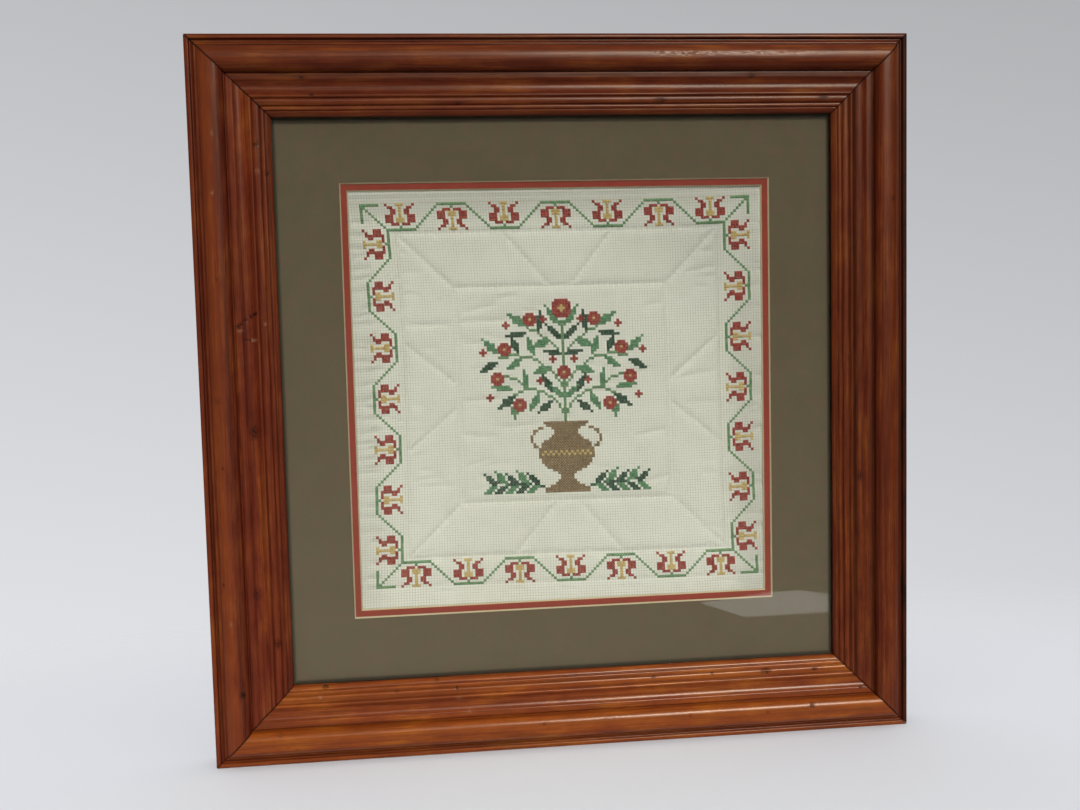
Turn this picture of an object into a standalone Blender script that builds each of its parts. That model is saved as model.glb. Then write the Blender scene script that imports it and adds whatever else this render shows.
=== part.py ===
"""Framed cross-stitch: a quilted, stitched cloth behind two window mats and glass, in a mitred pine moulding.

Metres, +Z up. The picture faces -Y and stands on the flat underside of its bottom rail, whose centre is
the origin. Depths are given as heights above the plane of the moulding's back, towards the viewer.
"""

import math

import bmesh
import bpy
from mathutils import Vector

MM = 0.001
GAP = 0.3 * MM

# Outer size of the frame, and the moulding's section: its width, its depth and its rabbet.
FRAME_WIDTH = 468 * MM
FRAME_HEIGHT = 469 * MM
FRAME_DEPTH = 28 * MM
RAIL_WIDTH = 51.2 * MM
RABBET_WIDTH = 6 * MM
RABBET_DEPTH = 14.5 * MM
BACK_Y = FRAME_DEPTH / 2

# The stack in the rabbet, from the back: board, cloth, inner mat, outer mat, glass.
BOARD_BACK = 3 * MM
BOARD_THICKNESS = 3 * MM
CLOTH_THICKNESS = 2.2 * MM
MAT_THICKNESS = 1.4 * MM
GLASS_THICKNESS = 2 * MM

PANEL_WIDTH = FRAME_WIDTH - 2 * (RAIL_WIDTH - RABBET_WIDTH) - 2 * GAP
PANEL_HEIGHT = FRAME_HEIGHT - 2 * (RAIL_WIDTH - RABBET_WIDTH) - 2 * GAP
CENTRE_Z = FRAME_HEIGHT / 2

# Each mat's window at its front face. Its edges are cut at 45 degrees, so it is narrower at the back.
OUTER_WINDOW = (283.7 * MM, 284.7 * MM)
INNER_WINDOW = (274.5 * MM, 275.3 * MM)

# The cloth: its stitched pattern's centre lies a little off the frame's.
PATTERN_OFFSET = (1.1 * MM, 2.4 * MM)
CLOTH_CELLS = 52
CLOTH_RELIEF_HALF = 141 * MM
GROOVE_WIDTH = 3.4 * MM
QUILT_DEPTH = 0.95 * MM
DEEPEST = 1.2 * MM

# The quilting, in mm from the pattern's centre. An inner and an outer square are joined at their corners,
# and a V spreads from the middle of each inner side to the outer side.
INNER_SQUARE = 72
OUTER_SQUARE = 108
V_FOOT = 7
V_SPREAD = 37

# Puckers in the cloth: centre (u, v), half length, slope in degrees, depth. All in mm but the slope.
PUCKERS = (
    (-90, 48, 18, 0, 0.45),
    (-50, 49.6, 20, 1, 0.5),
    (-61, 35, 7, 0, 0.5),
    (-54, -3, 17, 2, 0.45),
    (-89, -60, 15, 0, 0.35),
    (96, 80, 12, 10, 0.45),
    (58, -28, 12, 8, 0.5),
    (92, 10, 18, 8, 0.4),
    (53, 13, 12, 5, 0.35),
    (95, -9, 16, 0, 0.3),
    (-133, 50, 7, 3, 0.5),
    (-133, 18, 7, -3, 0.45),
    (-133, -13, 7, 2, 0.4),
    (-133, -40, 7, 0, 0.45),
    (-133, -79, 7, -2, 0.35),
    (134, 33, 6, 0, 0.35),
    (134, -6, 6, 3, 0.35),
    (134, -66, 6, -2, 0.35),
    (0, 131, 135, 0.3, 0.6),
    (0, -127, 135, 0, 0.35),
)


def clear_scene():
    for obj in list(bpy.data.objects):
        bpy.data.objects.remove(obj, do_unlink=True)


def make_material(name, colour, roughness, metallic=0.0):
    material = bpy.data.materials.new(name)
    material.use_nodes = True
    shader = material.node_tree.nodes["Principled BSDF"]
    shader.inputs["Base Color"].default_value = (*colour, 1.0)
    shader.inputs["Roughness"].default_value = roughness
    shader.inputs["Metallic"].default_value = metallic
    return material


def new_collection(name):
    collection = bpy.data.collections.new(name)
    bpy.context.scene.collection.children.link(collection)
    return collection


def mesh_object(name, bm, material, collection, parent):
    bmesh.ops.recalc_face_normals(bm, faces=bm.faces)
    mesh = bpy.data.meshes.new(name)
    bm.to_mesh(mesh)
    bm.free()
    obj = bpy.data.objects.new(name, mesh)
    obj.data.materials.append(material)
    obj.parent = parent
    collection.objects.link(obj)
    return obj


def from_back(height):
    """The Y of a plane this far in front of the moulding's back."""
    return BACK_Y - height


def hump(start, end, rise, steps, fullness=2.0):
    """Points of a half ellipse from start to end, squarer with more fullness. A negative rise makes a cove."""
    points = []
    for step in range(steps + 1):
        angle = math.pi * step / steps
        side = math.copysign(abs(math.cos(angle)) ** (2 / fullness), math.cos(angle))
        along = (1 - side) / 2
        width = start[0] + (end[0] - start[0]) * along
        height = start[1] + (end[1] - start[1]) * along + rise * math.sin(angle) ** (2 / fullness)
        points.append((width, height))
    return points


def moulding_section():
    """The moulding's closed section as (width from the outer side, height from the back), in mm."""
    rail, rabbet = RAIL_WIDTH / MM, (RAIL_WIDTH - RABBET_WIDTH) / MM
    lip = RABBET_DEPTH / MM
    section = [(0, 0)]
    section += hump((0, 19.9), (3.2, 20.4), 1.25, 8, 2.4)
    section += hump((3.4, 19.8), (5.4, 20.4), -0.6, 4)
    section += [(5.8, 21.2), (6.8, 21.25), (7.2, 20.9)]
    section += hump((7.6, 21.3), (23.4, 21.2), 6.75, 24, 2.4)
    section += [(23.8, 21.1), (24.4, 21.6), (25.0, 21.9), (27.9, 21.9), (28.4, 21.8), (28.8, 21.5)]
    section += [(29.5, 20.9), (30.2, 20.5), (31.0, 20.1), (31.8, 19.9), (32.6, 19.8), (33.6, 19.85)]
    section += [(34.5, 20.0), (35.5, 20.3), (36.5, 20.7), (37.4, 21.2), (38.1, 21.6), (38.6, 21.7)]
    section += [(39.2, 21.5), (39.6, 20.9)]
    section += hump((40.0, 20.4), (44.3, 20.2), 0.75, 8)
    section += [(44.5, 19.8)]
    section += hump((44.7, 19.5), (47.3, 19.5), 0.6, 6)
    section += [(47.5, 19.1)]
    section += hump((47.8, 18.9), (rail, 16.6), 0.95, 8, 2.2)
    section += [(rail, lip), (rabbet, lip), (rabbet, 0)]
    return section


def make_rail(name, length, location, turn, material, collection, parent):
    """One length of moulding along X, its width along +Z, mitred at 45 degrees at both ends."""
    bm = bmesh.new()
    section = [bm.verts.new((0, from_back(height * MM), width * MM)) for width, height in moulding_section()]
    end_face = bm.faces.new(section)
    extruded = bmesh.ops.extrude_face_region(bm, geom=[end_face])
    far_end = {item for item in extruded["geom"] if isinstance(item, bmesh.types.BMVert)}
    set_back = GAP / math.sqrt(2)
    for vert in bm.verts:
        reach = length / 2 - vert.co.z - set_back
        vert.co.x = reach if vert in far_end else -reach
    rail = mesh_object(name, bm, material, collection, parent)
    rail.location = location
    rail.rotation_euler = (0, math.radians(turn), 0)
    rail.data.shade_smooth()
    rail.data.set_sharp_from_angle(angle=math.radians(35))
    return rail


def make_panel(name, back, thickness, material, collection, parent):
    """A flat board that fills the rabbet, with its back this far in front of the moulding's back."""
    bm = bmesh.new()
    bmesh.ops.create_cube(bm, size=1)
    bmesh.ops.scale(bm, vec=(PANEL_WIDTH, thickness, PANEL_HEIGHT), verts=bm.verts)
    panel = mesh_object(name, bm, material, collection, parent)
    panel.location = (0, from_back(back + thickness / 2), CENTRE_Z)
    return panel


def window_cutter(name, window, centre_y, collection):
    """A four-sided frustum along Y whose sides cut the mat's edge at 45 degrees, wider towards the viewer."""
    reach = 2 * MAT_THICKNESS
    front = window[0] / 2 - MAT_THICKNESS / 2 + reach
    back = window[0] / 2 - MAT_THICKNESS / 2 - reach
    bm = bmesh.new()
    bmesh.ops.create_cone(
        bm,
        cap_ends=True,
        segments=4,
        radius1=front * math.sqrt(2),
        radius2=back * math.sqrt(2),
        depth=2 * reach,
    )
    bmesh.ops.recalc_face_normals(bm, faces=bm.faces)
    mesh = bpy.data.meshes.new(name)
    bm.to_mesh(mesh)
    bm.free()
    turn = Vector((0, 0, 1)).rotation_difference(Vector((0, 1, 0))).to_matrix().to_4x4()
    mesh.transform(turn.Rotation(math.radians(45), 4, "Y") @ turn)
    obj = bpy.data.objects.new(name, mesh)
    obj.location = (0, centre_y, CENTRE_Z)
    obj.scale = (1, 1, window[1] / window[0])
    obj.hide_render = True
    obj.display_type = "WIRE"
    collection.objects.link(obj)
    return obj


def make_mat(name, back, window, material, collection, cutters, parent):
    mat = make_panel(name, back, MAT_THICKNESS, material, collection, parent)
    cutter = window_cutter(name + "_window", window, mat.location.y, cutters)
    cut = mat.modifiers.new("Window", "BOOLEAN")
    cut.operation = "DIFFERENCE"
    cut.object = cutter
    return mat


def quilting_lines():
    """The stitched-through lines, as pairs of (u, v) points in mm from the pattern's centre."""
    lines = []
    for turn in range(4):
        cos, sin = (1, 0, -1, 0)[turn], (0, 1, 0, -1)[turn]

        def at(u, v, cos=cos, sin=sin):
            return (u * cos - v * sin, u * sin + v * cos)

        lines.append((at(-INNER_SQUARE, INNER_SQUARE), at(INNER_SQUARE, INNER_SQUARE)))
        lines.append((at(-OUTER_SQUARE, OUTER_SQUARE), at(OUTER_SQUARE, OUTER_SQUARE)))
        lines.append((at(INNER_SQUARE, INNER_SQUARE), at(OUTER_SQUARE, OUTER_SQUARE)))
        lines.append((at(-V_FOOT, INNER_SQUARE), at(-V_SPREAD, OUTER_SQUARE)))
        lines.append((at(V_FOOT, INNER_SQUARE), at(V_SPREAD, OUTER_SQUARE)))
    return lines


def pucker_line(pucker):
    u, v, half, slope, depth = pucker
    du, dv = half * math.cos(math.radians(slope)), half * math.sin(math.radians(slope))
    return (u - du, v - dv), (u + du, v + dv), depth


def distance_to_line(u, v, start, end):
    along = (end[0] - start[0], end[1] - start[1])
    share = ((u - start[0]) * along[0] + (v - start[1]) * along[1]) / (along[0] ** 2 + along[1] ** 2)
    share = min(1, max(0, share))
    return math.hypot(u - start[0] - share * along[0], v - start[1] - share * along[1])


def relief_depth(u, v, lines, puckers):
    """How far the cloth's front face lies behind its highest plane, u and v in mm from the pattern's centre."""
    groove = 0.0
    for start, end in lines:
        distance = distance_to_line(u, v, start, end) * MM
        groove = max(groove, QUILT_DEPTH * math.exp(-((distance / GROOVE_WIDTH) ** 2)))
    pucker = 0.0
    for start, end, depth in puckers:
        distance = distance_to_line(u, v, start, end) * MM
        pucker = max(pucker, depth * MM * math.exp(-((distance / GROOVE_WIDTH) ** 2)))
    wave = 0.06 * MM * (1 + math.sin(u / 17 + 1.3 * math.sin(v / 23)) * math.cos(v / 13))
    return min(DEEPEST, max(groove, pucker) + wave)


def grid_lines(half):
    """Coordinates of the cloth's grid lines along one axis: even where the relief is, then one strip to the edge."""
    lines = [-half]
    for step in range(CLOTH_CELLS + 1):
        lines.append(-CLOTH_RELIEF_HALF + 2 * CLOTH_RELIEF_HALF * step / CLOTH_CELLS)
    return lines + [half]


def make_cloth(back, material, collection, parent):
    """The stitched cloth: a flat back, and a front face with the quilting and the puckers in it."""
    columns, rows = grid_lines(PANEL_WIDTH / 2), grid_lines(PANEL_HEIGHT / 2)
    lines = quilting_lines()
    puckers = [pucker_line(pucker) for pucker in PUCKERS]
    bm = bmesh.new()
    count = len(columns) - 1
    bmesh.ops.create_grid(bm, x_segments=count, y_segments=count, size=0.5)
    for vert in bm.verts:
        column, row = round((vert.co.x + 0.5) * count), round((vert.co.y + 0.5) * count)
        x, z = columns[column], rows[row]
        depth = 0.0
        if 0 < column < count and 0 < row < count:
            u, v = (x - PATTERN_OFFSET[0]) / MM, (z - PATTERN_OFFSET[1]) / MM
            depth = relief_depth(u, v, lines, puckers)
        vert.co = (x, depth, z)
    flat = bmesh.ops.extrude_face_region(bm, geom=bm.faces[:])
    back_faces = [item for item in flat["geom"] if isinstance(item, bmesh.types.BMFace)]
    for item in flat["geom"]:
        if isinstance(item, bmesh.types.BMVert):
            item.co.y = CLOTH_THICKNESS
    inside = {edge for face in back_faces for edge in face.edges if all(f in back_faces for f in edge.link_faces)}
    bmesh.ops.dissolve_edges(bm, edges=list(inside), use_verts=True)
    cloth = mesh_object("cloth", bm, material, collection, parent)
    cloth.location = (0, from_back(back + CLOTH_THICKNESS), CENTRE_Z)
    cloth.data.shade_smooth()
    cloth.data.set_sharp_from_angle(angle=math.radians(40))
    return cloth


def build():
    clear_scene()
    parts = new_collection("framed_cross_stitch")
    cutters = new_collection("cutters")
    origin = bpy.data.objects.new("picture_origin", None)
    parts.objects.link(origin)

    pine = make_material("varnished_pine", (0.20, 0.055, 0.016), 0.32)
    glass = make_material("glass", (0.75, 0.80, 0.78), 0.05)
    olive = make_material("olive_mat_board", (0.115, 0.092, 0.052), 0.9)
    red = make_material("red_mat_board", (0.27, 0.055, 0.035), 0.9)
    cream = make_material("cream_cloth", (0.62, 0.60, 0.46), 0.95)
    board = make_material("backing_board", (0.24, 0.16, 0.09), 0.9)

    half_width, half_height = FRAME_WIDTH / 2, FRAME_HEIGHT / 2
    make_rail("rail_bottom", FRAME_WIDTH, (0, 0, 0), 0, pine, parts, origin)
    make_rail("rail_top", FRAME_WIDTH, (0, 0, FRAME_HEIGHT), 180, pine, parts, origin)
    make_rail("rail_left", FRAME_HEIGHT, (-half_width, 0, half_height), 90, pine, parts, origin)
    make_rail("rail_right", FRAME_HEIGHT, (half_width, 0, half_height), -90, pine, parts, origin)

    cloth_back = BOARD_BACK + BOARD_THICKNESS + GAP
    inner_back = cloth_back + CLOTH_THICKNESS + GAP
    outer_back = inner_back + MAT_THICKNESS + GAP
    glass_back = outer_back + MAT_THICKNESS + GAP
    make_panel("backing_board", BOARD_BACK, BOARD_THICKNESS, board, parts, origin)
    make_cloth(cloth_back, cream, parts, origin)
    make_mat("inner_mat", inner_back, INNER_WINDOW, red, parts, cutters, origin)
    make_mat("outer_mat", outer_back, OUTER_WINDOW, olive, parts, cutters, origin)
    make_panel("glass", glass_back, GLASS_THICKNESS, glass, parts, origin)


build()
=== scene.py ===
"""Looks of the framed cross-stitch: moulding, glass, mats, quilted cloth and every stitch."""

import math

import bpy
import numpy as np
from mathutils import Euler, Matrix


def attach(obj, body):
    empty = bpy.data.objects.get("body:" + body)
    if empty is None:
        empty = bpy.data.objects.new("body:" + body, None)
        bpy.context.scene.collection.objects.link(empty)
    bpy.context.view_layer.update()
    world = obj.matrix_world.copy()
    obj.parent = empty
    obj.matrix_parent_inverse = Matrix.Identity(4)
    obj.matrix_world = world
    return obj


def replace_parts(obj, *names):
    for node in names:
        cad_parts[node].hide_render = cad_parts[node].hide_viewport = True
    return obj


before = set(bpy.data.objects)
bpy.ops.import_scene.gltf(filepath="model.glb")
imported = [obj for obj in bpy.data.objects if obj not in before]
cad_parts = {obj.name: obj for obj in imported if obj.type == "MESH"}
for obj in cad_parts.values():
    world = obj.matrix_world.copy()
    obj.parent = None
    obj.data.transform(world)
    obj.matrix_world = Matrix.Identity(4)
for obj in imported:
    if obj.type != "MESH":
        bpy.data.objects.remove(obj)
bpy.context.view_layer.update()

MM = 0.001

# Sizes of the CAD model, in mm. GAP is the slack between parts that fit together.
GAP = 0.3
FRAME_WIDTH, FRAME_HEIGHT, FRAME_DEPTH = 468.0, 469.0, 28.0
RAIL_WIDTH, RABBET_WIDTH, RABBET_DEPTH = 51.2, 6.0, 14.5
BACK_Y = FRAME_DEPTH / 2
CENTRE_Z = FRAME_HEIGHT / 2
PANEL_WIDTH = FRAME_WIDTH - 2 * (RAIL_WIDTH - RABBET_WIDTH) - 2 * GAP
PANEL_HEIGHT = FRAME_HEIGHT - 2 * (RAIL_WIDTH - RABBET_WIDTH) - 2 * GAP
MAT_THICKNESS = 1.4
SIGHT_X, SIGHT_Z = MM * (FRAME_WIDTH / 2 - RAIL_WIDTH), MM * (FRAME_HEIGHT / 2 - RAIL_WIDTH)
CLOTH_FRONT_Y, CLOTH_BACK_Y = 5.5, 7.7
INNER_MAT_BACK_Y, OUTER_MAT_BACK_Y = 5.2, 3.5
OUTER_WINDOW = (283.7, 284.7)
INNER_WINDOW = (274.5, 275.3)
PATTERN_OFFSET = (1.1, 2.4)

# One square of the cloth, in mm: 14 to the inch, drawn a little closer along the height.
CELL_U, CELL_V = 1.814, 1.780


# Meshes

def make_object(name, points, faces, materials, face_materials=None, smooth=True, sharp=None,
                attributes=None):
    """A mesh object from arrays: points in mm, faces as lists or arrays of vertex indices."""
    mesh = bpy.data.meshes.new(name)
    counts = np.array([len(face) for face in faces], np.int32)
    corners = np.concatenate([np.asarray(face, np.int32) for face in faces])
    starts = np.concatenate([[0], np.cumsum(counts)[:-1]]).astype(np.int32)
    mesh.vertices.add(len(points))
    mesh.vertices.foreach_set("co", (np.asarray(points, float) * MM).astype(np.float32).ravel())
    mesh.loops.add(len(corners))
    mesh.loops.foreach_set("vertex_index", corners)
    mesh.polygons.add(len(counts))
    mesh.polygons.foreach_set("loop_start", starts)
    for material in materials:
        mesh.materials.append(material)
    if face_materials is not None:
        mesh.polygons.foreach_set("material_index", np.asarray(face_materials, np.int32))
    mesh.update(calc_edges=True)
    for key, values in (attributes or {}).items():
        layer = mesh.attributes.new(key, "FLOAT", "POINT")
        layer.data.foreach_set("value", np.asarray(values, np.float32))
    if smooth:
        mesh.shade_smooth()
    else:
        mesh.shade_flat()
    if sharp is not None:
        mesh.set_sharp_from_angle(angle=math.radians(sharp))
    obj = bpy.data.objects.new(name, mesh)
    bpy.context.scene.collection.objects.link(obj)
    return obj


# Materials

class Shading:
    """Builds the nodes of a material or a world. Values may be numbers, colours or other nodes' outputs."""

    def __init__(self, name, kind="materials"):
        self.owner = getattr(bpy.data, kind).new(name)
        self.owner.use_nodes = True
        self.tree = self.owner.node_tree
        self.shader = self.tree.nodes.get("Principled BSDF")
        self.output = self.tree.nodes.get("Material Output")

    def node(self, kind, inputs=None, **settings):
        node = self.tree.nodes.new(kind)
        for key, value in settings.items():
            setattr(node, key, value)
        for key, value in (inputs or {}).items():
            self.feed(node.inputs[key], value)
        return node

    def feed(self, socket, value):
        if isinstance(value, bpy.types.NodeSocket):
            self.tree.links.new(value, socket)
        elif isinstance(value, (tuple, list)) and len(value) == 3 and socket.type == "RGBA":
            socket.default_value = (*value, 1.0)
        else:
            socket.default_value = value

    def math(self, operation, a, b=0.0, c=0.0, clamp=False):
        inputs = {0: a, 1: b, 2: c}
        return self.node("ShaderNodeMath", inputs, operation=operation, use_clamp=clamp).outputs[0]

    def plus(self, a, b):
        return self.math("ADD", a, b)

    def minus(self, a, b):
        return self.math("SUBTRACT", a, b)

    def times(self, a, b, clamp=False):
        return self.math("MULTIPLY", a, b, clamp=clamp)

    def size(self, value):
        return self.math("ABSOLUTE", value)

    def most(self, a, b, clamp=False):
        return self.math("MAXIMUM", a, b, clamp=clamp)

    def vector(self, operation, a, b):
        return self.node("ShaderNodeVectorMath", {0: a, 1: b}, operation=operation).outputs[0]

    def split(self, vector):
        return self.node("ShaderNodeSeparateXYZ", {0: vector}).outputs

    def join(self, x, y, z):
        return self.node("ShaderNodeCombineXYZ", {0: x, 1: y, 2: z}).outputs[0]

    def coordinates(self):
        return self.node("ShaderNodeTexCoord").outputs["Object"]

    def attribute(self, name):
        return self.node("ShaderNodeAttribute", attribute_name=name).outputs["Fac"]

    def noise(self, vector, scale, detail=3.0, roughness=0.5, distortion=0.0):
        """Noise from 0 to 1. The scale is one number, or one for each axis."""
        if isinstance(scale, tuple):
            vector, scale = self.vector("MULTIPLY", vector, scale), 1.0
        inputs = {"Vector": vector, "Scale": scale, "Detail": detail, "Roughness": roughness,
                  "Distortion": distortion}
        return self.node("ShaderNodeTexNoise", inputs).outputs["Fac"]

    def range(self, value, low, high, to_low=0.0, to_high=1.0, smooth=True):
        """The value, moved from between low and high to between to_low and to_high."""
        inputs = {"Value": value, "From Min": low, "From Max": high, "To Min": to_low, "To Max": to_high}
        kind = "SMOOTHSTEP" if smooth else "LINEAR"
        return self.node("ShaderNodeMapRange", inputs, interpolation_type=kind).outputs[0]

    def mix(self, share, a, b):
        node = self.node("ShaderNodeMix", data_type="RGBA")
        for index, value in ((0, share), (6, a), (7, b)):
            self.feed(node.inputs[index], value)
        return node.outputs[2]

    def ramp(self, value, stops):
        node = self.node("ShaderNodeValToRGB", {0: value})
        elements = node.color_ramp.elements
        while len(elements) < len(stops):
            elements.new(0.5)
        for element, (place, colour) in zip(elements, stops):
            element.position = place
            element.color = (*colour, 1.0)
        return node.outputs[0]

    def bump(self, height, strength, distance):
        inputs = {"Strength": strength, "Distance": distance, "Height": height}
        return self.node("ShaderNodeBump", inputs).outputs[0]

    def finish(self, **inputs):
        for key, value in inputs.items():
            self.feed(self.shader.inputs[key.replace("_", " ")], value)
        return self.owner


# Colours of the pine, linear: the stain where it is deep, even and thin, what the grain adds to it, where it
# is rubbed thin and where light is painted on, the glaze in the hollows and the painted shade, and the two
# kinds of marks.
STAIN_DEEP, STAIN, STAIN_THIN = (0.084, 0.0128, 0.0034), (0.125, 0.0232, 0.0050), (0.175, 0.0440, 0.0066)
BAND, LATE_WOOD = (0.072, 0.0098, 0.0031), (0.052, 0.0076, 0.0024)
STREAK, PORE = (0.046, 0.0068, 0.0023), (0.026, 0.0044, 0.0019)
RUBBED_AND_LIT, DARK_GLAZE_AND_SHADE = (0.180, 0.0460, 0.0086), (0.011, 0.0032, 0.0018)
DARK_MARK, BARE_WOOD = (0.007, 0.0034, 0.0024), (0.34, 0.18, 0.10)
# Distance between growth rings, how far in front of the rail the tree's heart ran, and how far it strayed,
# in m.
RING_STEP, HEART_Y, HEART_SWAY = 0.0034, 0.055, 0.020


def growth_rings(s, along, y, z, seed):
    """Where the moulding cuts the tree's rings: 1 in dense late wood, 0 between, and weaker in places."""
    slow = s.vector("MULTIPLY", along, (4.0, 14.0, 14.0))
    sway_y = s.minus(s.noise(slow, 1.0, 2.0), 0.5)
    sway_z = s.minus(s.noise(s.vector("ADD", slow, (7.3, 1.9, 4.1)), 1.0, 2.0), 0.5)
    heart_z = s.math("MULTIPLY_ADD", s.math("SINE", s.times(seed, 2.1)), 0.03, -0.02)
    from_y = s.plus(s.math("MULTIPLY_ADD", sway_y, HEART_SWAY, y), HEART_Y)
    from_z = s.plus(s.math("MULTIPLY_ADD", sway_z, HEART_SWAY, z), heart_z)
    radius = s.math("SQRT", s.plus(s.times(from_y, from_y), s.times(from_z, from_z)))
    ring = s.math("FRACT", s.math("DIVIDE", radius, RING_STEP))
    late = s.times(s.range(ring, 0.25, 0.82), s.range(ring, 0.86, 1.0, 1.0, 0.0))
    return s.times(late, s.range(s.noise(along, (3.0, 60.0, 60.0), 2.0), 0.35, 0.68))


def pine_material():
    """Stained, varnished pine: rings, streaks, pores, glaze and painted shade, rubbing and painted light,
    marks, scuffs.
    """
    s = Shading("varnished_pine_grain")
    seed = s.attribute("seed")
    x, y, z = s.split(s.coordinates())
    along = s.join(s.math("MULTIPLY_ADD", seed, 3.7, x), y, z)
    rings = growth_rings(s, along, y, z, seed)
    pores = s.noise(along, (45.0, 2000.0, 2000.0), 3.0, 0.6)
    streak = s.noise(along, (13.0, 800.0, 800.0), 4.0, 0.65)
    broad = s.noise(along, (7.0, 220.0, 220.0), 3.0, 0.6)
    blotch = s.noise(along, (30.0, 75.0, 75.0), 4.0, 0.6)
    patchiness = s.noise(along, (30.0, 90.0, 90.0))
    ragged = s.range(s.noise(along, (500.0, 900.0, 900.0)), 0.36, 0.60, 0.25, 1.2)
    peel = s.noise(along, (90.0, 260.0, 260.0), 2.0)
    scrape = s.noise(along, (420.0, 900.0, 900.0), 3.0, 0.6)

    colour = s.ramp(blotch, ((0.33, STAIN_DEEP), (0.50, STAIN), (0.67, STAIN_THIN)))
    colour = s.mix(s.range(broad, 0.38, 0.64, 0.0, 0.50), colour, BAND)
    colour = s.mix(s.times(rings, 0.50), colour, LATE_WOOD)
    colour = s.mix(s.range(streak, 0.44, 0.66, 0.0, 0.66), colour, STREAK)
    colour = s.mix(s.range(pores, 0.52, 0.70, 0.0, 0.68), colour, PORE)
    # Rubbed-thin crests, and also painted light on crests and lit slopes.
    colour = s.mix(s.times(s.attribute("rubbed_and_lit"), 0.32), colour, RUBBED_AND_LIT)
    # Glaze in the hollows, and also painted shade on slopes turned from the light, with the lip's inner face
    # painted dark; it dulls the varnish too.
    glaze_and_shade = s.times(s.attribute("glaze_and_painted_shade"), s.range(patchiness, 0.25, 0.75, 0.6, 1.15), clamp=True)
    colour = s.mix(glaze_and_shade, colour, DARK_GLAZE_AND_SHADE)
    shade, gold = s.attribute("shade"), s.attribute("gold")
    green = s.times(shade, s.math("MULTIPLY_ADD", gold, 0.10, 1.0))
    blue = s.times(shade, s.math("MULTIPLY_ADD", gold, -0.6, 1.0))
    colour = s.vector("MULTIPLY", colour, s.join(shade, green, blue))
    mark = s.attribute("mark")
    colour = s.mix(s.times(s.most(mark, 0.0), ragged, clamp=True), colour, DARK_MARK)
    colour = s.mix(s.times(s.most(s.times(mark, -1.4), 0.0), ragged, clamp=True), colour, BARE_WOOD)

    scuff = s.attribute("scuff")
    height = s.plus(s.times(peel, 0.55), s.times(pores, -0.22))
    height = s.minus(height, s.times(rings, 0.16))
    varnish = s.math("MULTIPLY_ADD", s.times(scrape, scuff), 4.0, peel)
    rough = s.math("MULTIPLY_ADD", glaze_and_shade, 0.2, s.range(streak, 0.3, 0.8, 0.40, 0.52))
    whole = s.times(s.range(mark, 0.1, 0.7, 1.0, 0.1), s.range(glaze_and_shade, 0.1, 0.6, 1.0, 0.1))
    speck = s.plus(s.times(scuff, s.range(scrape, 0.40, 0.60, -0.95, 1.1)), 1.0)
    coat = s.times(s.times(s.attribute("gloss"), whole), speck, clamp=True)
    return s.finish(Base_Color=colour, Roughness=rough, Normal=s.bump(height, 0.5, 0.12 * MM),
                    Coat_Weight=coat, Coat_Roughness=0.20, Coat_IOR=1.3,
                    Coat_Normal=s.bump(varnish, 0.35, 0.12 * MM), Specular_IOR_Level=0.06)


def board_material(name, colour, fleck):
    """Paper-faced mat board: short fibres, slight mottling, and painted shade along the frame's edge, where
    the rail's lip shades it.
    """
    s = Shading(name)
    place = s.coordinates()
    mottle = s.noise(place, 45.0)
    fibres = s.noise(place, (1500.0, 1500.0, 3300.0), 4.0, 0.65)
    across = s.noise(place, (2640.0, 1100.0, 1100.0), 3.0, 0.6)
    tone = s.plus(s.times(fibres, 0.6), s.times(across, 0.4))
    painted = s.mix(s.range(tone, 0.34, 0.70, 0.0, 0.55), colour, fleck)
    painted = s.mix(s.range(mottle, 0.3, 0.7, 0.0, 0.14), painted, tuple(0.82 * c for c in colour))
    patch = s.range(s.noise(place, 125.0, 3.0, 0.6), 0.40, 0.62)
    painted = s.vector("MULTIPLY", painted, s.mix(patch, (0.95, 1.02, 0.96), (1.06, 0.975, 1.02)))
    # Painted shade: the board darkens to 0.36 at the sight edge and fades out 2.6 mm in, standing in for the
    # lip's shadow.
    x, _, z = s.split(place)
    inset_x = s.minus(SIGHT_X, s.size(x))
    inset_z = s.minus(SIGHT_Z, s.size(z))
    shade = s.range(s.math("MINIMUM", inset_x, inset_z), 0.6 * MM, 2.6 * MM, 0.36, 1.0)
    painted = s.vector("MULTIPLY", painted, s.join(shade, shade, shade))
    return s.finish(Base_Color=painted, Roughness=s.range(mottle, 0.3, 0.7, 0.86, 0.96),
                    Normal=s.bump(tone, 0.5, 0.12 * MM), Specular_IOR_Level=0.25)


def core_material():
    """The cream core that a bevel cut lays bare: layered, and toned in places."""
    s = Shading("mat_core_cream")
    place = s.coordinates()
    layers = s.noise(place, (60.0, 3200.0, 60.0))
    stain = s.noise(place, 30.0)
    colour = s.mix(s.range(layers, 0.3, 0.7, 0.0, 0.35), (0.56, 0.47, 0.31), (0.44, 0.35, 0.22))
    colour = s.mix(s.range(stain, 0.42, 0.75, 0.0, 0.4), colour, (0.46, 0.33, 0.17))
    return s.finish(Base_Color=colour, Roughness=s.range(layers, 0.3, 0.7, 0.84, 0.94),
                    Normal=s.bump(layers, 0.4, 0.08 * MM), Specular_IOR_Level=0.25)


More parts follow.
